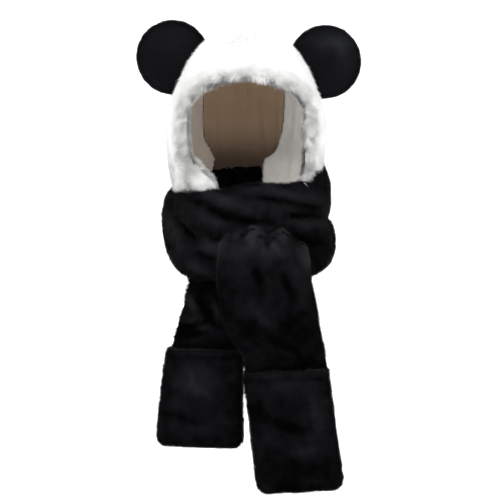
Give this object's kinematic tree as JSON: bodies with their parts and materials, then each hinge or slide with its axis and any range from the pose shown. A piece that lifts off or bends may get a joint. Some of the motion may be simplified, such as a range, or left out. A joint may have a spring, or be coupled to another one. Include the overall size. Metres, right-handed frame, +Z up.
{
  "type": "plush hooded scarf with animal ears",
  "caption": "Padded plush hood with round ears, sewn to a plush scarf that winds round the neck and ends in hanging tails with pockets.",
  "frame": {"origin": "where the crown of the wearer's head meets the lining", "axes": "+X to the viewer's right, +Y to the back of the head, +Z up"},
  "size_m": [0.3908, 0.3091, 0.8023],
  "materials": {
    "white_plush": "soft short-pile plush, matt",
    "tan_fleece": "napped fleece lining, matt",
    "pale_facing": "napped facing, matt",
    "ear_plush": "dense short plush, matt",
    "black_plush": "soft plush with a slight sheen"
  },
  "bodies": {
    "root": {"hood_shell": "white_plush", "back_lining": "tan_fleece", "cheek_lining_left": "pale_facing", "cheek_lining_right": "pale_facing", "ear_left": "ear_plush", "ear_right": "ear_plush", "scarf_left_arm": "black_plush", "scarf_right_arm": "black_plush", "pocket_left": "black_plush", "pocket_right": "black_plush"}
  },
  "joints": []
}
